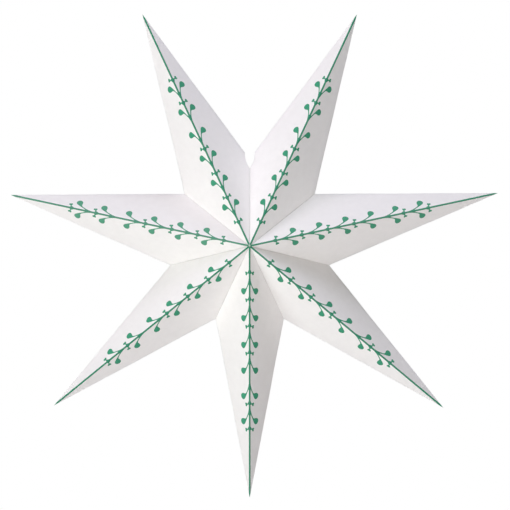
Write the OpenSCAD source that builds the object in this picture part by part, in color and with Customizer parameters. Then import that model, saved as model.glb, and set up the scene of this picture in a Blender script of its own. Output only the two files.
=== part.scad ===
// Paper star lantern. Each point is one folded sheet of paper, and the points are glued
// tab to tab round the middle. The fan is opened and closed along the top seam, where the
// cord comes out. Millimetres, +Z up, front towards -Y, origin at the cord opening.

/* [Star] */
// Number of folded points
points = 7; // [5:1:9]
// Distance from the middle of the star to the tip of a point
tip_r = 358; // [300:1:420]
// Distance from the middle to the bottom of the valley between two points
valley_r = 116; // [95:1:130]
// Depth of the opened star, from its front peak to its back peak
star_depth = 170; // [130:1:210]
// How far the front and back peaks hang below the middle of the tips
hang = 2.8; // [0:0.1:6]
// How far the seams at the sides hang below an even spacing, in degrees
sag = 1.9; // [0:0.1:3]
// How far the two end points lean towards the closing seam, in degrees
end_lean = 1.2; // [0:0.1:3]
// How far the two side points are lifted, in degrees
side_lift = 0.3; // [0:0.1:1]
// How far the lower left point is lifted, in degrees
low_left_lift = 0.7; // [0:0.1:1]
// How much shorter the side point on the left is than the other points
short_by = 13.5; // [0:0.5:20]

/* [Paper] */
// Thickness of the paper
paper_t = 0.4; // [0.3:0.05:0.5]
// Radius of the soft fold along the side edges of a point, where it meets the valley
fold_r = 4; // [3:0.5:8]
// Film of glue between the tabs of two points
glue_t = 0.1; // [0.05:0.05:0.2]

/* [Tabs] */
// Width of the glue tabs that are turned in along the seams
tab_w = 8; // [5:0.5:12]
// Length of the slanted end of a tab
tab_slant = 10; // [6:0.5:14]
// Distance from a peak of the star to the start of the tab
tab_start = 6; // [4:0.5:12]
// Distance between the front tab and the back tab, where the paper folds
tab_clear = 3; // [2:0.5:8]

/* [Cord opening] */
// Distance from the middle to the valley at the closing seam
end_valley_r = 120.5; // [100:0.5:140]
// Width of the opening for the cord, from left to right
opening_w = 13.5; // [10:0.5:18]
// Length of the opening for the cord, from front to back
opening_l = 22; // [19:0.5:30]
// Gap between the two end tabs of the closing seam
seam_gap = 0.6; // [0.2:0.1:1]
// Diameter of the punched holes for the tie strings of the closing seam
tie_hole_d = 4; // [2:0.5:5]
// Distance from a peak of the star to the first tie hole
tie_first = 40; // [30:1:50]
// Distance between the two tie holes of a tab
tie_pitch = 55; // [40:1:60]

/* [Print] */
// Thickness that the printed colour is drawn with
ink_t = 0.1; // [0.05:0.05:0.2]
// Width of the printed line on each side of a ridge
line_w = 2.3; // [1:0.1:4]
// Distance from a peak of the star to the first leaf pair
leaf_first = 67.5; // [60:0.5:75]
// Spacing of the first two leaf pairs
leaf_pitch = 39.3; // [36:0.1:42]
// How much shorter each next spacing is
pitch_drop = 0.8; // [0:0.1:1.5]
// Number of leaf pairs on a ridge
leaf_pairs = 6; // [3:1:6]
// The leaf pair that has no bud pair after it
bare_leaf = 4; // [1:1:6]
// Length of a leaf along the ridge
leaf_l = 9; // [6:0.5:11]
// Width of a leaf across the ridge
leaf_w = 10; // [7:0.5:12]
// Distance from the ridge to the middle of a leaf
leaf_off = 13.3; // [11:0.1:15]
// Length of a leaf's stalk along the ridge
stalk_l = 12; // [9:0.5:14]
// Width of a stalk
stalk_w = 1.3; // [0.8:0.1:2]
// Distance from a peak of the star to the first bud pair
bud_first = 41; // [38:0.5:46]
// Distance from a leaf pair to the bud pair after it
bud_after = 11.6; // [11:0.1:14]
// Length of a bud along the ridge
bud_l = 4.4; // [3:0.2:5]
// Width of a bud across the ridge
bud_w = 4.6; // [3:0.2:6]
// Distance from the ridge to the middle of a bud
bud_off = 7.5; // [6.5:0.1:9]

/* [Hidden] */
half_depth = star_depth / 2;
// Steps of the soft fold at the valley, and of a punched hole
fold_steps = 4;
hole_fn = 24;
// The seams sag most just below the middle of the star
sag_low = 0.5;
// Lip of paper that joins the tabs past the fold and past the peaks
lip = 4 * paper_t;
// The printed line stays this far inside the facet where that is narrower than the line
ink_margin = 0.3;
// The print is drawn this far off the paper, so that the two share no face
ink_lift = 0.02;
// The halves of a print overlap by this much on the ridge, which makes them one. The
// second half is less far over, and shorter at both ends, so that no faces fall together.
ink_lap = 0.8 * ink_t;
second_lap = 0.6 * ink_t;
second_step = 0.3;
// Reach of the cutters past the paper that they cut
cut_over = 2;
paper_colour = [0.97, 0.97, 0.96];
ink_colour = [0.13, 0.55, 0.38];

// Where the valleys and tips lie about the middle of the star, as angles in its plane.
// Seams count clockwise from the closing seam at the top, and point i lies between the
// seams i - 1 and i.
function is_closing(j) = j == 0 || j == points;
function seam_turn(j) =
    let (even = 90 - j * 360 / points)
    even - sag * cos(even) * (1 - sag_low * sin(even));
function lift(i) =
    i == 1 ? end_lean : i == points ? -end_lean :
    i == 2 ? side_lift : i == points - 1 ? -side_lift :
    i == points - 2 ? -low_left_lift : 0;
function tip_turn(i) = (seam_turn(i - 1) + seam_turn(i)) / 2 + lift(i);
function tip_far(i) = tip_r - (i == points - 1 ? short_by : 0);
function valley_far(j) = is_closing(j) ? end_valley_r : valley_r;

// The same places seen from the star's axis, the line through its two peaks, which hangs
// below the middle
function hung(far, turn) = [far + hang * sin(turn), hang * cos(turn)];
function hung_angle(far, turn) = turn + atan2(hung(far, turn)[1], hung(far, turn)[0]);
function seam_angle(j) = hung_angle(valley_far(j), seam_turn(j));
function seam_r(j) = norm(hung(valley_far(j), seam_turn(j)));
function seam_off(j) = (is_closing(j) ? seam_gap : glue_t) / 2;
function ridge_angle(i) = hung_angle(tip_far(i), tip_turn(i));
function reach(i) = norm(hung(tip_far(i), tip_turn(i)));
axis_drop = end_valley_r + hang;

// Side 1 of a point is towards the seam before it, side -1 towards the seam after it
function seam_of(i, side) = side == 1 ? i - 1 : i;
function spread(i, side) = side * (seam_angle(seam_of(i, side)) - ridge_angle(i));
function along(angle) = [cos(angle), 0, sin(angle)];
function into(angle, side) = side * [sin(angle), 0, -cos(angle)];
function unit(v) = v / norm(v);

// Ridge line of point i, from the front peak to the tip
function peak() = [0, -half_depth, 0];
function tip(i) = reach(i) * along(ridge_angle(i));

// A seam's own plane is measured out from the star's axis and back from its middle. This
// is where the ridge meets the plane of the tab, and the centre of the fold at the valley.
function seam_peak(i, side) =
    let (x = seam_off(seam_of(i, side)) / sin(spread(i, side)))
    [x * cos(spread(i, side)), -half_depth * (1 - x / reach(i))];
function fold_centre(i, side) = [seam_r(seam_of(i, side)) - fold_r, 0];
function seam_slope(i, side) =
    let (v = fold_centre(i, side) - seam_peak(i, side))
    atan2(v[1], v[0]) - asin(fold_r / norm(v));
function seam_run(i, side) =
    let (d = norm(fold_centre(i, side) - seam_peak(i, side)))
    sqrt(d * d - fold_r * fold_r);

// Stations along a seam, each a place, the direction of the seam there, and the tab's width
function front_stations(i, side) =
    let (
        slope = seam_slope(i, side),
        run = seam_run(i, side),
        mid = (half_depth - tab_clear / 2 - tab_w * cos(slope)) / sin(slope),
        marks = [
            [tab_start, lip],
            [tab_start + tab_slant, tab_w],
            [min(run - tab_slant, mid), tab_w],
            [run, lip]
        ]
    )
    [for (m = marks) [seam_peak(i, side) + m[0] * [cos(slope), sin(slope)], slope, m[1]]];
function fold_stations(i, side) =
    let (slope = seam_slope(i, side), turn = 180 - 2 * slope)
    [for (k = [1 : fold_steps - 1])
        let (a = slope + turn * k / fold_steps)
        [fold_centre(i, side) + fold_r * [sin(a), -cos(a)], a, lip]];
function mirrored(stations) =
    [for (k = [len(stations) - 1 : -1 : 0])
        let (s = stations[k])
        [[s[0][0], -s[0][1]], 180 - s[1], s[2]]];
function seam_stations(i, side) =
    let (front = front_stations(i, side))
    concat(front, fold_stations(i, side), mirrored(front));

// Section of the sheet at a station: its outer corner, the two corners of the tab's edge,
// and the inner corner, where the wall of the point runs into the tab
function section(i, side, station) =
    let (
        angle = seam_angle(seam_of(i, side)),
        inner = into(angle, side),
        dir = along(angle),
        heading = cos(station[1]) * dir + [0, sin(station[1]), 0],
        deeper = -sin(station[1]) * dir + [0, cos(station[1]), 0],
        outer = station[0][0] * dir + [0, station[0][1], 0] + seam_off(seam_of(i, side)) * inner,
        ruling = tip(i) - outer,
        wall = unit(cross(ruling, heading)),
        edge = outer + station[2] * deeper,
        meet = outer + ruling * paper_t / (ruling * inner)
    )
    [outer, edge, edge + paper_t * inner, meet + deeper * paper_t / norm(cross(wall, inner))];

// How far the inner tip lies behind the outer one
function facet_normal(i, side) =
    let (s = front_stations(i, side)[3])
    unit(cross(tip(i) - peak(), section(i, side, s)[0] - peak()));
function tip_back(i, side) = paper_t / abs(facet_normal(i, side) * along(ridge_angle(i)));
function inner_back(i) = (tip_back(i, 1) + tip_back(i, -1)) / 2;

// Section of the sheet on the ridge, next to a peak, where its two tabs run together
function peak_section(i, face) =
    let (
        dir = along(ridge_angle(i)),
        off = [for (side = [1, -1]) seam_off(seam_of(i, side))],
        turn = [for (side = [1, -1]) sin(spread(i, side))],
        x0 = max(off[0] / turn[0], off[1] / turn[1]),
        x1 = max((off[0] + paper_t) / turn[0], (off[1] + paper_t) / turn[1]),
        y0 = half_depth * (1 - x0 / reach(i)),
        y1 = half_depth * (1 - (x1 + inner_back(i)) / reach(i))
    )
    [
        x0 * dir + [0, face * y0, 0],
        x0 * dir + [0, face * (y1 - lip), 0],
        x1 * dir + [0, face * (y1 - lip), 0],
        x1 * dir + [0, face * y1, 0]
    ];

// The whole sheet of point i: walls, fold and tabs
module sheet(i) {
    before = [for (s = seam_stations(i, 1)) section(i, 1, s)];
    after = [for (s = seam_stations(i, -1)) section(i, -1, s)];
    after_back = [for (k = [len(after) - 1 : -1 : 0]) after[k]];
    ring = concat([peak_section(i, -1)], before, [peak_section(i, 1)], after_back);
    n = len(ring);
    inner_tip = (reach(i) - inner_back(i)) * along(ridge_angle(i));
    corners = concat([tip(i), inner_tip], [for (s = ring) each s]);
    faces = [
        for (j = [0 : n - 1])
            let (a = 2 + 4 * j, b = 2 + 4 * ((j + 1) % n))
            each [
                [0, a, b],
                for (k = [0 : 2]) each [[a + k, a + k + 1, b + k + 1], [a + k, b + k + 1, b + k]],
                [1, b + 3, a + 3]
            ]
    ];
    polyhedron(corners, faces);
}

// Slot with round ends that the cord comes out of, cut down through both end points
module cord_slot() {
    r = opening_w / 2;
    low = axis_drop * (1 - opening_l / star_depth) - tab_w - cut_over;
    tall = tip_r - low;
    translate([0, 0, low]) {
        for (s = [-1, 1])
            translate([0, s * (opening_l / 2 - r), 0]) cylinder(r = r, h = tall, $fn = hole_fn);
        translate([-r, r - opening_l / 2, 0]) cube([opening_w, opening_l - opening_w, tall]);
    }
}

// Tie holes through the end tabs, at the middle of each tab's width
module tie_holes(i) {
    side = i == 1 ? 1 : -1;
    slope = seam_slope(i, side);
    deep = tab_w / 2 * [-sin(slope), cos(slope)];
    long = seam_gap + 2 * paper_t + cut_over;
    for (face = [-1, 1], k = [0, 1]) {
        q = seam_peak(i, side) + (tie_first + k * tie_pitch) * [cos(slope), sin(slope)] + deep;
        translate([-long / 2, -face * q[1], q[0]])
            rotate([0, 90, 0]) cylinder(d = tie_hole_d, h = long, $fn = hole_fn);
    }
}

// Point i of the star
module star_point(i) {
    color(paper_colour)
        translate([0, 0, -axis_drop])
            if (i == 1 || i == points)
                difference() {
                    sheet(i);
                    cord_slot();
                    tie_holes(i);
                }
            else
                sheet(i);
}

// Printed sprig on one facet, drawn flat: first number along the ridge from the peak of the
// star, second number out from the ridge
function leaf_at(k) = leaf_first + k * leaf_pitch - pitch_drop * k * (k - 1) / 2;
function leaf_outline(s) = [
    [s - stalk_l - 1.5 * line_w, line_w],
    [s - 0.5 * leaf_l, leaf_off - 0.55 * leaf_w],
    [s - 0.42 * leaf_l, leaf_off + 0.3 * leaf_w],
    [s - 0.08 * leaf_l, leaf_off + 0.52 * leaf_w],
    [s + 0.52 * leaf_l, leaf_off],
    [s - 0.2 * leaf_l, leaf_off - 0.47 * leaf_w],
    [s - stalk_l + 2 * stalk_w, line_w]
];
function bud_outline(s) = [
    [s - bud_l, line_w],
    [s - 0.5 * bud_l, bud_off + 0.4 * bud_w],
    [s + 0.55 * bud_l, bud_off + 0.1 * bud_w],
    [s, bud_off - 0.6 * bud_w],
    [s - 0.5 * bud_l, line_w]
];

// The halves of a print start and end where both facets are wide enough for them
function ridge(i) = tip(i) - peak();
function facet_corner(i, side) = section(i, side, front_stations(i, side)[3])[0] - peak();
function slope_at(a, b) = tan(acos(unit(a) * unit(b)));
function opening(i) = min([for (side = [1, -1]) slope_at(ridge(i), facet_corner(i, side))]);
function closing(i) =
    min([for (side = [1, -1]) slope_at(ridge(i), ridge(i) - facet_corner(i, side))]);
function sprig_outline(i, side) =
    let (
        lap = side == 1 ? ink_lap : second_lap,
        step = side == 1 ? 0 : second_step,
        start = 2 * ink_margin / opening(i) + step,
        full = (line_w + ink_margin) / opening(i),
        narrows = norm(ridge(i)) - (line_w + ink_margin) / closing(i),
        end = norm(ridge(i)) - 2 * ink_margin / closing(i) - step
    )
    concat(
        [[start, -lap], [start, ink_margin], [full, line_w]],
        bud_outline(bud_first),
        [for (k = [0 : leaf_pairs - 1]) each concat(
            leaf_outline(leaf_at(k)),
            k + 1 == bare_leaf ? [] : bud_outline(leaf_at(k) + bud_after)
        )],
        [[narrows, line_w], [end, ink_margin], [end, -lap]]
    );

// The sprig laid on its facet of point i
module facet_print(i, side) {
    e1 = unit(ridge(i));
    seam = facet_corner(i, side);
    e2 = unit(seam - (seam * e1) * e1);
    out = side * cross(e1, e2);
    place = [for (r = [0 : 2]) [e1[r], side * e2[r], out[r], peak()[r]]];
    multmatrix(place)
        translate([0, 0, ink_lift])
            linear_extrude(ink_t)
                polygon([for (q = sprig_outline(i, side)) [q[0], side * q[1]]]);
}

// Print of point i, on its front and on its back
module point_print(i) {
    color(ink_colour)
        translate([0, 0, -axis_drop])
            for (back = [0, 1])
                mirror([0, back, 0]) {
                    facet_print(i, 1);
                    facet_print(i, -1);
                }
}

for (i = [1 : points]) star_point(i);
for (i = [1 : points]) point_print(i);
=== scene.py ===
"""Looks of a paper star lantern: seven folded paper points with a printed sprig on every
ridge. Metres, +Z up, front towards -Y, origin at the cord opening."""

import math

import bmesh
import bpy
from mathutils import Matrix, Vector


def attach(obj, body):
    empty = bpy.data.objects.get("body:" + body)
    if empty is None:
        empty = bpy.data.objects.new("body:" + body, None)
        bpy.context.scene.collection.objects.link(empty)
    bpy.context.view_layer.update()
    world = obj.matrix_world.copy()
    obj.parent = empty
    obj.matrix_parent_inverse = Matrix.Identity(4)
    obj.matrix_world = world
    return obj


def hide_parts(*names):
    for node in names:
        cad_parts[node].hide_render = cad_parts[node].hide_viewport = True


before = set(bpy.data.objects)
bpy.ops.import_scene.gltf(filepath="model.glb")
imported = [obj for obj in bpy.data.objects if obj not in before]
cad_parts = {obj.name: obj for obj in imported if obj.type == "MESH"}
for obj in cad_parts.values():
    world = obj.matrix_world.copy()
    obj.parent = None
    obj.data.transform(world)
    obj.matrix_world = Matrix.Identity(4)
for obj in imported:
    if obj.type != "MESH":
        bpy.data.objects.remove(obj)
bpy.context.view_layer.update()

bl_info = {
    "name": "Paper Star Lantern",
    "version": (1, 0, 0),
    "blender": (4, 5, 0),
    "location": "View3D > Sidebar > Lantern",
    "description": "Dresses the folded points of a paper star lantern with paper and print",
    "category": "Object",
}

MM = 0.001
POINTS = sorted(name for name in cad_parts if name.startswith("point_"))
PRINTS = {name: name.replace("point", "print") for name in POINTS}
# Corners nearer than this are one: in a CAD mesh and where halves join, after cuts, and in a
# drawing
CAD_MERGE = 0.004 * MM
CUT_MERGE = 0.003 * MM
DRAWN_MERGE = 0.002 * MM
# The paper waves less and less within these distances of a ridge, a seam and a tip. The seams
# are over at a distance from the middle of the star.
RIDGE_HOLD = 16 * MM
SEAM_HOLD = 20 * MM
TIP_HOLD = 110 * MM
SEAM_REACH = 140 * MM
# The photo's width, and the size of its pixels at the star
PHOTO_PIXELS = 510
PHOTO_SCALE = 1.412 * MM


# Settings


class PaperSettings(bpy.types.PropertyGroup):
    """The folded paper sheets"""

    colour: bpy.props.FloatVectorProperty(
        name="Paper", description="Colour of the bare paper", subtype="COLOR",
        size=3, min=0, max=1, default=(0.90, 0.90, 0.895))
    fold_round: bpy.props.FloatProperty(
        name="Fold rounding", description="How far the crease of a glue tab is rounded",
        default=0.55 * MM, min=0.1 * MM, max=1 * MM, subtype="DISTANCE", unit="LENGTH")
    panel_step: bpy.props.FloatProperty(
        name="Panel step", description="Spacing of the cuts that let a sheet wave",
        default=11 * MM, min=5 * MM, max=40 * MM, subtype="DISTANCE", unit="LENGTH")
    wave: bpy.props.FloatProperty(
        name="Wave", description="How far the paper waves out of its flat panels",
        default=0.9 * MM, min=0, max=2 * MM, subtype="DISTANCE", unit="LENGTH")
    wave_length: bpy.props.FloatProperty(
        name="Wave length", description="Distance from one wave of the paper to the next",
        default=70 * MM, min=20 * MM, max=200 * MM, subtype="DISTANCE", unit="LENGTH")
    # Painted shade: how grey the seam creases are painted, standing in for the shadow in their
    # grooves
    seam_shade: bpy.props.FloatProperty(
        name="Crease", description="How grey the paper is where it is creased into a seam",
        default=0.35, min=0, max=1, subtype="FACTOR")
    fibre: bpy.props.FloatProperty(
        name="Fibre", description="Size of the paper's fibres",
        default=0.5 * MM, min=0.1 * MM, max=2 * MM, subtype="DISTANCE", unit="LENGTH")


class PrintSettings(bpy.types.PropertyGroup):
    """The printed sprigs"""

    colour: bpy.props.FloatVectorProperty(
        name="Ink", description="Colour of the printed sprig", subtype="COLOR",
        size=3, min=0, max=1, default=(0.034, 0.298, 0.165))
    lift: bpy.props.FloatProperty(
        name="Lift", description="Distance from the paper to the underside of the ink",
        default=0.03 * MM, min=0.01 * MM, max=0.1 * MM, subtype="DISTANCE", unit="LENGTH")
    thickness: bpy.props.FloatProperty(
        name="Thickness", description="Thickness that the ink is drawn with",
        default=0.06 * MM, min=0.02 * MM, max=0.2 * MM, subtype="DISTANCE", unit="LENGTH")
    line: bpy.props.FloatProperty(
        name="Line", description="Width of the printed line on each side of a ridge",
        default=1.7 * MM, min=1 * MM, max=4 * MM, subtype="DISTANCE", unit="LENGTH")
    deeper: bpy.props.FloatProperty(
        name="Deeper line", description="How much deeper the line is printed than the leaves",
        default=0.3, min=0, max=1, subtype="FACTOR")
    piece_step: bpy.props.FloatProperty(
        name="Piece step", description="Spacing of the cuts that let the ink follow the paper",
        default=8 * MM, min=3 * MM, max=20 * MM, subtype="DISTANCE", unit="LENGTH")


class StageSettings(bpy.types.PropertyGroup):
    """Floor, lamps and camera"""

    floor_drop: bpy.props.FloatProperty(
        name="Floor", description="Height of the floor, with the lantern hung above it",
        default=-0.95, min=-3, max=-0.5, subtype="DISTANCE", unit="LENGTH")
    floor_size: bpy.props.FloatProperty(
        name="Floor size", description="Radius of the floor, which fades to white",
        default=2.6, min=1, max=6, subtype="DISTANCE", unit="LENGTH")
    photo_scale: bpy.props.FloatProperty(
        name="Frame", description="Width of the picture at the middle of the star",
        default=PHOTO_PIXELS * PHOTO_SCALE, min=0.3, max=2, subtype="DISTANCE", unit="LENGTH")
    camera_distance: bpy.props.FloatProperty(
        name="Camera distance", description="Distance from the camera to the lantern",
        default=8, min=2, max=20, subtype="DISTANCE", unit="LENGTH")
    camera_height: bpy.props.FloatProperty(
        name="Camera angle", description="How far the camera looks down on the lantern",
        default=0, min=-1, max=1, subtype="ANGLE")


# Shader maths


def raw(value):
    """The socket or number behind a value of a shader expression."""
    return value.socket if isinstance(value, Socket) else value


class Socket:
    """A shader socket that can stand in a Python expression."""

    def __init__(self, maker, socket):
        self.maker = maker
        self.socket = socket

    def maths(self, operation, *values):
        return self.maker.node("ShaderNodeMath", {"operation": operation},
                               dict(enumerate(values)))

    def __add__(self, other):
        return self.maths("ADD", self, other)

    def __sub__(self, other):
        return self.maths("SUBTRACT", self, other)

    def __rsub__(self, other):
        return self.maths("SUBTRACT", other, self)

    def __mul__(self, other):
        return self.maths("MULTIPLY", self, other)

    __radd__ = __add__
    __rmul__ = __mul__


class Maker:
    """Adds nodes to the tree of one material or world."""

    def __init__(self, owner):
        owner.use_nodes = True
        self.tree = owner.node_tree
        self.tree.nodes.clear()

    def node(self, kind, settings=None, values=None, output=0):
        """Adds a node, with its settings and the values or links of its inputs."""
        made = self.tree.nodes.new(kind)
        for name, value in (settings or {}).items():
            setattr(made, name, value)
        for name, value in (values or {}).items():
            value = raw(value)
            if isinstance(value, bpy.types.NodeSocket):
                self.tree.links.new(value, made.inputs[name])
            else:
                made.inputs[name].default_value = value
        return Socket(self, made.outputs[output])

    def place(self):
        """Object coordinates, in metres."""
        return self.node("ShaderNodeTexCoord", output="Object")

    def stored(self, name):
        """An attribute of the piece itself."""
        return self.node("ShaderNodeAttribute", {"attribute_name": name}, output="Fac")

    def noise(self, size, detail=2.0, roughness=0.5):
        """Noise with features of a size in metres, about 0 to 1."""
        return self.node("ShaderNodeTexNoise", {}, {
            "Vector": self.place(), "Scale": 1 / size, "Detail": detail,
            "Roughness": roughness})

    def between(self, value, low, high, to_low, to_high):
        """The value's stretch from low to high, carried over to another stretch."""
        return self.node("ShaderNodeMapRange", {"clamp": True}, {
            "Value": value, "From Min": low, "From Max": high,
            "To Min": to_low, "To Max": to_high})

    def mix(self, share, first, second):
        """Colour between two colours."""
        return self.node("ShaderNodeMix", {"data_type": "RGBA"}, {
            0: share, 6: first, 7: second}, output=2)

    def bump(self, height, distance, strength):
        """The normal of a surface with a relief."""
        return self.node("ShaderNodeBump", {}, {
            "Height": height, "Distance": distance, "Strength": strength})

    def seen(self):
        """1 where the camera sees a place, straight, mirrored or through something."""
        rays = [self.node("ShaderNodeLightPath", output=f"Is {kind} Ray")
                for kind in ("Camera", "Glossy", "Transmission")]
        return rays[0].maths("MAXIMUM", rays[0], rays[1].maths("MAXIMUM", *rays[1:]))

    def finish(self, shader, kind="ShaderNodeOutputMaterial"):
        """Links the shader to the output of the material or world."""
        out = self.tree.nodes.new(kind)
        self.tree.links.new(raw(shader), out.inputs["Surface"])


def rgba(colour, factor=1.0):
    """A colour for a socket, lighter or darker by a factor."""
    return (*[min(1.0, c * factor) for c in colour], 1.0)


# Painted shade in a crease: the grey that stands in for the shadow in a seam's groove
SEAM_SHADE_GREY = (0.30, 0.29, 0.29)


def paper_material(look):
    """Matt white paper: cloudy where its fibres lie denser, rough to the touch, and with
    painted shade in its seam creases.
    """
    material = bpy.data.materials.new("white_paper")
    make = Maker(material)
    cloud = make.noise(9 * MM, 3.0, 0.55)
    flecks = make.noise(1.6 * MM, 2.0, 0.6)
    sheet = make.mix(make.between(cloud + 0.5 * flecks, 0.5, 1.0, 0.0, 1.0),
                     rgba(look.colour, 0.975), rgba(look.colour, 1.01))
    # Painted shade: the rounded seam creases and tabs are greyed as if in shadow
    colour = make.mix(make.stored("seam_shade") * look.seam_shade, sheet, rgba(SEAM_SHADE_GREY))
    fibres = make.noise(look.fibre, 4.0, 0.65)
    felt = make.noise(3.5 * MM, 2.0, 0.5)
    height = 0.6 * fibres + 0.4 * felt
    make.finish(make.node("ShaderNodeBsdfPrincipled", {}, {
        "Base Color": colour,
        "Roughness": make.between(fibres, 0.3, 0.7, 0.72, 0.88),
        "Specular IOR Level": 0.3,
        "Normal": make.bump(height, 0.05 * MM, 0.5)}))
    return material


# Brightness of the deepest ink next to the usual ink
DEEP_INK = 0.45


def ink_material(look, paper):
    """Flat printing ink: a little thinner in places, with the paper's fibres under it."""
    material = bpy.data.materials.new("green_ink")
    make = Maker(material)
    density = make.noise(2.2 * MM, 3.0, 0.6)
    grain = make.noise(0.7 * MM, 2.0, 0.6)
    coat = make.mix(make.between(0.65 * density + 0.35 * grain, 0.35, 0.65, 0.0, 1.0),
                    rgba(look.colour, 0.93), rgba(look.colour, 1.08))
    off = make.stored("off_ridge")
    colour = make.mix(make.between(off, look.line, 1.5 * look.line, look.deeper, 0.0),
                      coat, rgba(look.colour, DEEP_INK))
    # The print of some points is mixed towards the paper's colour and is paler there
    colour = make.mix(make.stored("paler_print"), colour, rgba(paper.colour))
    fibres = make.noise(paper.fibre, 4.0, 0.65)
    make.finish(make.node("ShaderNodeBsdfPrincipled", {}, {
        "Base Color": colour,
        "Roughness": make.between(density, 0.3, 0.7, 0.55, 0.7),
        "Specular IOR Level": 0.35,
        "Normal": make.bump(fibres, 0.04 * MM, 0.35)}))
    return material


# The star's frame


class Facet:
    """One flat panel next to a ridge: its plane, and its directions along and off the ridge."""

    def __init__(self, peak, along, off, out, side):
        self.peak, self.along, self.off, self.out, self.side = peak, along, off, out, side

    def matrix(self, lift):
        """Lays a flat drawing, X along the ridge and Y off it, on the panel."""
        columns = (self.along, self.off * self.side, self.out)
        turn = Matrix(columns).transposed().to_4x4()
        return Matrix.Translation(self.peak + self.out * lift) @ turn


def corners_of(name):
    return [v.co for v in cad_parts[name].data.vertices]


def star_middle():
    """Middle of the star: every sheet has its front peak right on the star's axis."""
    peaks = [min(corners_of(name), key=lambda c: c.y) for name in POINTS]
    return Vector((0, 0, sum(p.z for p in peaks) / len(peaks)))


MIDDLE = star_middle()


def tip_of(name):
    return max(corners_of(name), key=lambda c: (c - MIDDLE).length).copy()


def directions(tip):
    """The directions from the middle of the star to a tip, and across it."""
    out_line = (tip - MIDDLE).normalized()
    return out_line, Vector((out_line.z, 0, -out_line.x))


# How near to the tip a front panel's corner lies, and the least that its normal faces front
AT_TIP = 0.02 * MM
FACES_FRONT = -0.1


def facets_of(name):
    """The two front panels of a point, side 1 first, read from the sheet's own faces."""
    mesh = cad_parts[name].data
    tip = tip_of(name)
    out_line, across = directions(tip)
    best = {}
    for face in mesh.polygons:
        near = min((mesh.vertices[v].co - tip).length for v in face.vertices)
        if near > AT_TIP or face.normal.y > FACES_FRONT:
            continue
        side = -1 if face.normal.dot(across) > 0 else 1
        if side not in best or face.area > best[side].area:
            best[side] = face
    along = best[1].normal.cross(best[-1].normal).normalized()
    if along.dot(out_line) < 0:
        along = -along
    flat = Vector((along.x, 0, along.z))
    run = (tip - MIDDLE).dot(flat) / flat.length_squared
    peak = tip - along * run
    made = []
    for side in (1, -1):
        out = best[side].normal.normalized()
        off = out.cross(along) * side
        made.append(Facet(peak, along, off, out, side))
    return made


# Modelling helpers


def only_nothing():
    """Leaves edit mode and deselects everything."""
    if bpy.context.object and bpy.context.object.mode != "OBJECT":
        bpy.ops.object.mode_set(mode="OBJECT")
    bpy.ops.object.select_all(action="DESELECT")


def only(piece):
    """Deselects everything, then selects one piece and makes it the active one."""
    only_nothing()
    piece.select_set(True)
    bpy.context.view_layer.objects.active = piece


def edit(piece):
    only(piece)
    bpy.ops.object.mode_set(mode="EDIT")
    bpy.ops.mesh.select_mode(type="FACE")


def done():
    bpy.ops.object.mode_set(mode="OBJECT")


def merge(distance):
    """Selects all of the piece in edit mode and joins the corners that fall together."""
    bpy.ops.mesh.select_all(action="SELECT")
    bpy.ops.mesh.remove_doubles(threshold=distance)


def pick_edges(piece, test):
    """Selects and counts the edges of the piece in edit mode that pass the test."""
    bpy.ops.mesh.select_mode(type="EDGE")
    bpy.ops.mesh.select_all(action="DESELECT")
    shape = bmesh.from_edit_mesh(piece.data)
    shape.normal_update()
    found = 0
    for edge in shape.edges:
        if test(edge):
            edge.select_set(True)
            found += 1
    bmesh.update_edit_mesh(piece.data)
    return found


def mark_faces(piece, name, share):
    """Writes a share into an attribute of the selected faces of the piece in edit mode."""
    shape = bmesh.from_edit_mesh(piece.data)
    layer = shape.faces.layers.float.new(name)
    for face in shape.faces:
        face[layer] = share(face) if face.select else 0.0
    bmesh.update_edit_mesh(piece.data)


def cut(place, direction):
    """Cuts all of the piece in edit mode with one plane."""
    bpy.ops.mesh.select_all(action="SELECT")
    bpy.ops.mesh.bisect(plane_co=place, plane_no=direction)


def apply_all(piece):
    only(piece)
    for modifier in list(piece.modifiers):
        bpy.ops.object.modifier_apply(modifier=modifier.name)


def dress(piece, material, angle):
    """Gives a piece its only material, and smooth shading but for its sharper edges."""
    only(piece)
    piece.data.materials.clear()
    piece.data.materials.append(material)
    bpy.ops.object.shade_smooth_by_angle(angle=angle)


def smooth(x):
    """Runs softly from 0 at 0 to 1 at 1."""
    x = max(0.0, min(1.0, x))
    return x * x * (3 - 2 * x)


def looseness(tip):
    """How freely the sheet of a point can wave at a place: not at all on its ridges, at its
    seams and at its tip, and fully in the middle of a panel."""
    out_line, across = directions(tip)
    half = math.pi / len(POINTS)

    def at(place):
        flat = place - MIDDLE
        far = flat.dot(out_line)
        off = abs(flat.dot(across))
        seam = far * math.sin(half) - off * math.cos(half)
        seam = max(seam, 0.0) if far < SEAM_REACH else SEAM_HOLD
        return (smooth(off / RIDGE_HOLD) * smooth(seam / SEAM_HOLD)
                * smooth((tip - place).length / TIP_HOLD))

    return at


def wave(piece, look, texture, at):
    """Lets a piece wave. Paper and ink go by the same waves, so they stay together."""
    group = piece.vertex_groups.new(name="loose")
    for corner in piece.data.vertices:
        group.add([corner.index], at(corner.co), "REPLACE")
    only(piece)
    bpy.ops.object.modifier_add(type="DISPLACE")
    modifier = piece.modifiers[-1]
    modifier.texture = texture
    modifier.texture_coords = "LOCAL"
    modifier.direction = "RGB_TO_XYZ"
    modifier.mid_level = 0.5
    modifier.strength = look.wave
    modifier.vertex_group = group.name
    apply_all(piece)
    piece.vertex_groups.clear()


def wave_texture(look):
    """The waves of the paper, the same for each call."""
    texture = bpy.data.textures.new("paper_wave", "CLOUDS")
    texture.cloud_type = "COLOR"
    texture.noise_basis = "ORIGINAL_PERLIN"
    texture.noise_scale = look.wave_length
    texture.noise_depth = 0
    return texture


# Paper


# Edges between faces this flat are dissolved
FLAT_ANGLE = math.radians(0.3)
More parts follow.
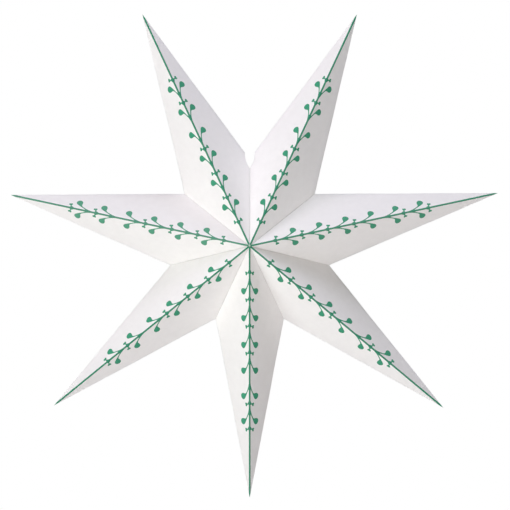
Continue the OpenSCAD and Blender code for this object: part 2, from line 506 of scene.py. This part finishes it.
# An outer crease of a tab: how sharply it turns, how long it is at least, how far its tab may
# lie from the star's axis, and how far it stays from the axis itself
TAB_TURN = (math.radians(25), math.radians(80))
CREASE_LENGTH = 0.3 * MM
TAB_GAP = 0.4 * MM
PEAK_CLEAR = 7 * MM
# How far a tab's normal may point to the front or back
UPRIGHT = 0.02
# Share of the full painted seam shade at the glued seams, and how near the middle plane of the
# star the closing seam's creases lie
GLUED_SEAM_SHADE = 0.25
CLOSING_REACH = 2 * MM
# The cuts that fan out from the tip, on each side of the ridge
FAN_CUTS = 5
FAN_STEP = math.radians(2.1)
SHEET_SMOOTH = math.radians(20)


class LANTERN_OT_paper(bpy.types.Operator):
    """Makes the seven folded sheets of paper, with rounded creases and a slight wave"""

    bl_idname = "lantern.paper"
    bl_label = "Fold Paper Points"

    def execute(self, context):
        look = context.scene.lantern_paper
        material = paper_material(look)
        texture = wave_texture(look)
        for name in POINTS:
            self.sheet(name, look, material, texture)
        return {"FINISHED"}

    def sheet(self, name, look, material, texture):
        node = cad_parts[name]
        piece = bpy.data.objects.new(name.replace("point", "sheet"), node.data.copy())
        bpy.context.scene.collection.objects.link(piece)
        tip = tip_of(name)
        out_line, across = directions(tip)
        edit(piece)
        merge(CAD_MERGE)
        bpy.ops.mesh.dissolve_limited(angle_limit=FLAT_ANGLE)

        def is_crease(edge):
            """An outer crease between a panel and its tab, clear of the star's peaks"""
            if len(edge.link_faces) != 2 or edge.calc_length() < CREASE_LENGTH:
                return False
            middle = (edge.verts[0].co + edge.verts[1].co) / 2 - MIDDLE
            if middle.dot(out_line) < PEAK_CLEAR:
                return False
            turn = edge.calc_face_angle_signed(0.0)
            tabs = [f for f in edge.link_faces if self.is_tab(f)]
            return TAB_TURN[0] < turn < TAB_TURN[1] and len(tabs) == 1

        if not pick_edges(piece, is_crease):
            raise RuntimeError(f"{name} has no creases to round")
        bpy.ops.mesh.bevel(offset=look.fold_round, segments=3, profile=0.5,
                           affect="EDGES", clamp_overlap=False)
        # Painted shade: the rounded creases and tabs are marked here to be greyed in the
        # paper's colour
        mark_faces(piece, "seam_shade", self.seam_shade_share)
        far = (tip - MIDDLE).length
        for k in range(1, int(far / look.panel_step)):
            cut(MIDDLE + out_line * (k * look.panel_step), out_line)
        for k in range(-FAN_CUTS, FAN_CUTS + 1):
            cut(tip, Matrix.Rotation(FAN_STEP * k, 3, "Y") @ across)
        merge(CUT_MERGE)
        done()
        wave(piece, look, texture, looseness(tip))
        dress(piece, material, SHEET_SMOOTH)
        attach(piece, "root")
        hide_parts(name)

    @staticmethod
    def seam_shade_share(face):
        """Share of painted shade on a crease face: the closing seam isn't glued and gapes, so
        its two creases get more painted shade than the glued ones
        """
        place = face.calc_center_median() - MIDDLE
        return 1.0 if abs(place.x) < CLOSING_REACH and place.z > 0 else GLUED_SEAM_SHADE

    @staticmethod
    def is_tab(face):
        """A face of a tab stands upright on the star's plane and almost meets its axis"""
        gap = face.normal.dot(face.calc_center_median() - MIDDLE)
        return abs(face.normal.y) < UPRIGHT and abs(gap) < TAB_GAP


# Print


# Knots of the printed outline in millimetres: along the ridge from the leaf or bud, and off
# the ridge. A sharp knot has a 1.
LEAF = [
    (-21, 0, 1), (-17, 2.55, 0), (-12.7, 4.0, 0), (-9, 5.7, 0), (-6.3, 7.3, 0),
    (-4.7, 9.2, 0), (-4.5, 12.4, 0), (-4.1, 15.4, 0), (-2.2, 17.9, 0), (0.6, 18.4, 0),
    (3.3, 16.8, 0), (4.6, 13.8, 0), (3.6, 10.9, 0), (0.4, 8.7, 0), (-3.9, 6.5, 0),
    (-8.8, 4.0, 0), (-12, 2.3, 1), (-10, 0, 1),
]
BUD = [
    (-6.6, 0, 1), (-4.0, 3.2, 0), (-2.0, 4.5, 1), (-2.7, 6.7, 0), (-2.7, 8.7, 0),
    (-1.5, 9.5, 0), (-0.1, 8.8, 0), (1.4, 8.7, 0), (2.4, 7.3, 0), (1.6, 5.7, 0),
    (-0.2, 4.9, 0), (-1.0, 3.7, 1), (-0.4, 0, 1),
]
# Millimetres from the star's peak to the pairs of leaves and buds
LEAF_PLACES = [67.9, 106.8, 145.5, 182.9, 219.7, 256.2]
BUD_PLACES = [41.3, 80.0, 118.4, 157.3, 231.0, 267.7]
# How far the print of some points is mixed towards the paper's colour, so that it looks paler
PALER_PRINT_SHARES = {"point_2": 0.02, "point_6": 0.055}
# How far the line stays inside the narrow ends of a panel, and off the star's peak
INK_EDGE = 0.08 * MM
INK_START = 0.95 * MM
# A corner this near to a panel's plane lies on it
ON_PANEL = 0.01 * MM
CURVE_STEPS = 4
SPRIG_SMOOTH = math.radians(30)


class LANTERN_OT_print(bpy.types.Operator):
    """Prints the sprigs on the ridges, front and back, as thin coats of ink"""

    bl_idname = "lantern.print"
    bl_label = "Print Sprigs"

    def execute(self, context):
        look = context.scene.lantern_print
        paper = context.scene.lantern_paper
        material = ink_material(look, paper)
        texture = wave_texture(paper)
        for name in POINTS:
            self.sprig(name, look, paper, material, texture)
        return {"FINISHED"}

    def knots(self, look, ends):
        """The outline of half a sprig, from the star's peak to the tip and back"""
        start, full, narrows, end = ends
        made = [(start, INK_EDGE, 1), (full, look.line, 1)]
        units = [(s, LEAF) for s in LEAF_PLACES] + [(s, BUD) for s in BUD_PLACES]
        for s, unit in sorted(units, key=lambda u: u[0]):
            made += [(s * MM + x * MM, y * MM if y else look.line, sharp)
                     for x, y, sharp in unit]
        return made + [(narrows, look.line, 1), (end, INK_EDGE, 1)]

    def ends(self, name, facets, look):
        """Where the line starts and ends, and where both panels hold its full width"""
        long = (tip_of(name) - facets[0].peak).length
        opens, closes = [], []
        for facet in facets:
            corner = self.seam_corner(name, facet)
            opens.append(corner[1] / corner[0])
            closes.append(corner[1] / (long - corner[0]))
        opens, closes = min(opens), min(closes)
        margin = look.line + INK_EDGE
        return (max(2 * INK_EDGE / opens, INK_START), margin / opens,
                long - margin / closes, long - 2 * INK_EDGE / closes)

    def seam_corner(self, name, facet):
        """The panel's corner at the end of its seam, as places along and off the ridge"""
        best = (0.0, 0.0)
        for corner in corners_of(name):
            place = corner - facet.peak
            if abs(place.dot(facet.out)) < ON_PANEL:
                spot = (place.dot(facet.along), place.dot(facet.off))
                if spot[1] > best[1]:
                    best = spot
        return best

    def half(self, knots, facet, lap, look):
        """Draws half a sprig flat as a curve that laps over the ridge, fills it, cuts it into
        short pieces and lays it on its panel"""
        only_nothing()
        bpy.ops.curve.primitive_bezier_circle_add(radius=1, location=(0, 0, 0))
        piece = bpy.context.object
        drawing = piece.data
        drawing.dimensions = "2D"
        drawing.fill_mode = "BOTH"
        drawing.resolution_u = CURVE_STEPS
        path = knots + [(knots[-1][0], -lap, 1), (knots[0][0], -lap, 1)]
        spline = drawing.splines[0]
        spline.bezier_points.add(len(path) - len(spline.bezier_points))
        for knot, (x, y, sharp) in zip(spline.bezier_points, path):
            knot.co = (x, y * facet.side, 0)
            knot.handle_left_type = knot.handle_right_type = "VECTOR" if sharp else "AUTO"
        spline.use_cyclic_u = True
        only(piece)
        bpy.ops.object.convert(target="MESH")
        edit(piece)
        merge(DRAWN_MERGE)
        first, last = knots[0][0], knots[-1][0]
        count = int((last - first) / look.piece_step)
        for k in range(1, count):
            cut((first + (last - first) * k / count, 0, 0), (1, 0, 0))
        bpy.ops.mesh.select_all(action="SELECT")
        bpy.ops.mesh.normals_make_consistent(inside=False)
        shape = bmesh.from_edit_mesh(piece.data)
        shape.faces.ensure_lookup_table()
        if shape.faces[0].normal.z < 0:
            bpy.ops.mesh.flip_normals()
        done()
        stored = piece.data.attributes.new("off_ridge", "FLOAT", "POINT")
        for corner, item in zip(piece.data.vertices, stored.data):
            item.value = abs(corner.co.y)
        piece.matrix_world = facet.matrix(look.lift)
        bpy.ops.object.transform_apply()
        return piece

    def sprig(self, name, look, paper, material, texture):
        """Prints one point: both halves on its front, their copy on its back, as one coat"""
        facets = facets_of(name)
        half_turn = (math.pi - facets[0].out.angle(facets[1].out)) / 2
        lap = look.lift / math.tan(half_turn)
        knots = self.knots(look, self.ends(name, facets, look))
        halves = [self.half(knots, facet, lap, look) for facet in facets]
        only(halves[0])
        halves[1].select_set(True)
        bpy.ops.object.join()
        piece = halves[0]
        edit(piece)
        merge(CAD_MERGE)
        bpy.ops.mesh.duplicate()
        bpy.ops.transform.resize(value=(1, -1, 1), center_override=(0, 0, 0))
        bpy.ops.mesh.flip_normals()
        done()
        wave(piece, paper, texture, looseness(tip_of(name)))
        bpy.ops.object.modifier_add(type="SOLIDIFY")
        coat = piece.modifiers[-1]
        coat.thickness = look.thickness
        coat.offset = 1
        apply_all(piece)
        paler_print = piece.data.attributes.new("paler_print", "FLOAT", "POINT")
        paler_print.data.foreach_set("value", [PALER_PRINT_SHARES.get(name, 0.0)] * len(paler_print.data))
        piece.name = PRINTS[name].replace("print", "sprig")
        dress(piece, material, SPRIG_SMOOTH)
        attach(piece, "root")
        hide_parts(PRINTS[name])


# Stage


# Name, place, width and height in metres, power in watts, colour. All point at the star.
LAMPS = [
    ("left_lamp", (-2.2, -2.2, -0.2), 1.4, 1.4, 42.5, (0.98, 1.0, 0.97)),
    ("low_lamp", (0.2, -2.4, -0.5), 0.8, 0.8, 18.5, (1.0, 0.90, 0.83)),
    ("top_lamp", (-0.7, -0.8, 2.0), 1.0, 1.0, 16.7, (0.93, 0.82, 1.0)),
    ("right_lamp", (1.6, -0.6, 2.4), 1.2, 1.2, 23.0, (0.81, 0.88, 1.0)),
    ("back_lamp", (-0.8, 3.0, 0.8), 1.6, 1.6, 20.0, (1.0, 1.0, 1.0)),
]
# Strength of the white background where the camera doesn't see it
ROOM_LIGHT = 0.12
# The floor turns from 0.4 white near the star to all white, between these shares of its size
FLOOR_FADE = (0.15, 0.9)
FLOOR_WHITE = (0.4, 1.0)
# From the middle of the star to the middle of the picture
PHOTO_SHIFT = Vector((7.5 * MM, 0, -12.8 * MM))
SENSOR_WIDTH = 36


class LANTERN_OT_stage(bpy.types.Operator):
    """Sets up the floor, the soft lamps, the white background and the camera"""

    bl_idname = "lantern.stage"
    bl_label = "Set Up Stage"

    def execute(self, context):
        look = context.scene.lantern_stage
        context.scene.view_settings.view_transform = "Standard"
        self.floor(look)
        self.background()
        for lamp in LAMPS:
            self.lamp(*lamp)
        self.camera(context, look)
        return {"FINISHED"}

    def floor(self, look):
        only_nothing()
        bpy.ops.mesh.primitive_circle_add(
            vertices=96, radius=look.floor_size, fill_type="NGON",
            location=(0, 0, look.floor_drop))
        floor = bpy.context.object
        floor.name = "floor"
        material = bpy.data.materials.new("pale_floor")
        make = Maker(material)
        away = make.node("ShaderNodeVectorMath", {"operation": "LENGTH"},
                         {"Vector": make.place()}, output="Value")
        starts, stops = [share * look.floor_size for share in FLOOR_FADE]
        fade = make.between(away, starts, stops, *FLOOR_WHITE)
        plain = make.node("ShaderNodeBsdfDiffuse", {}, {"Color": (0.9, 0.9, 0.9, 1.0)})
        white = make.node("ShaderNodeEmission", {}, {"Strength": 1.0})
        make.finish(make.node("ShaderNodeMixShader", {}, {
            0: fade * make.seen(), 1: plain, 2: white}))
        floor.data.materials.append(material)

    def background(self):
        world = bpy.data.worlds.new("white_room")
        bpy.context.scene.world = world
        make = Maker(world)
        strength = make.between(make.seen(), 0.0, 1.0, ROOM_LIGHT, 1.0)
        shader = make.node("ShaderNodeBackground", {}, {
            "Color": (1.0, 1.0, 1.0, 1.0), "Strength": strength})
        make.finish(shader, "ShaderNodeOutputWorld")

    def lamp(self, name, place, width, height, power, colour):
        only_nothing()
        bpy.ops.object.light_add(type="AREA", location=place)
        lamp = bpy.context.object
        lamp.name = name
        lamp.data.shape = "RECTANGLE"
        lamp.data.size, lamp.data.size_y = width, height
        lamp.data.energy = power
        lamp.data.color = colour
        aim = MIDDLE - Vector(place)
        lamp.rotation_euler = aim.to_track_quat("-Z", "Y").to_euler()

    def camera(self, context, look):
        only_nothing()
        centre = MIDDLE + PHOTO_SHIFT
        up = look.camera_height
        back = Vector((0, -math.cos(up), math.sin(up)))
        bpy.ops.object.camera_add(location=centre + back * look.camera_distance)
        camera = bpy.context.object
        camera.rotation_euler = (-back).to_track_quat("-Z", "Y").to_euler()
        camera.data.sensor_width = SENSOR_WIDTH
        camera.data.lens = SENSOR_WIDTH * look.camera_distance / look.photo_scale
        camera.data.clip_end = 100
        context.scene.camera = camera


# Panel and run


class LANTERN_PT_panel(bpy.types.Panel):
    """The lantern's settings and its steps"""

    bl_idname = "LANTERN_PT_panel"
    bl_label = "Paper Star Lantern"
    bl_space_type = "VIEW_3D"
    bl_region_type = "UI"
    bl_category = "Lantern"

    def draw(self, context):
        for group, kind in GROUPS.items():
            box = self.layout.box()
            box.label(text=kind.__doc__)
            for name in kind.__annotations__:
                box.prop(getattr(context.scene, group), name)
        for step in STEPS:
            self.layout.operator(step.bl_idname)


GROUPS = {
    "lantern_paper": PaperSettings,
    "lantern_print": PrintSettings,
    "lantern_stage": StageSettings,
}
STEPS = (LANTERN_OT_paper, LANTERN_OT_print, LANTERN_OT_stage)
CLASSES = (*GROUPS.values(), *STEPS, LANTERN_PT_panel)


def register():
    for kind in CLASSES:
        bpy.utils.register_class(kind)
    for name, kind in GROUPS.items():
        setattr(bpy.types.Scene, name, bpy.props.PointerProperty(type=kind))


def unregister():
    for name in GROUPS:
        delattr(bpy.types.Scene, name)
    for kind in reversed(CLASSES):
        bpy.utils.unregister_class(kind)


def main():
    register()
    bpy.ops.lantern.paper()
    bpy.ops.lantern.print()
    bpy.ops.lantern.stage()


if __name__ == "__main__":
    main()
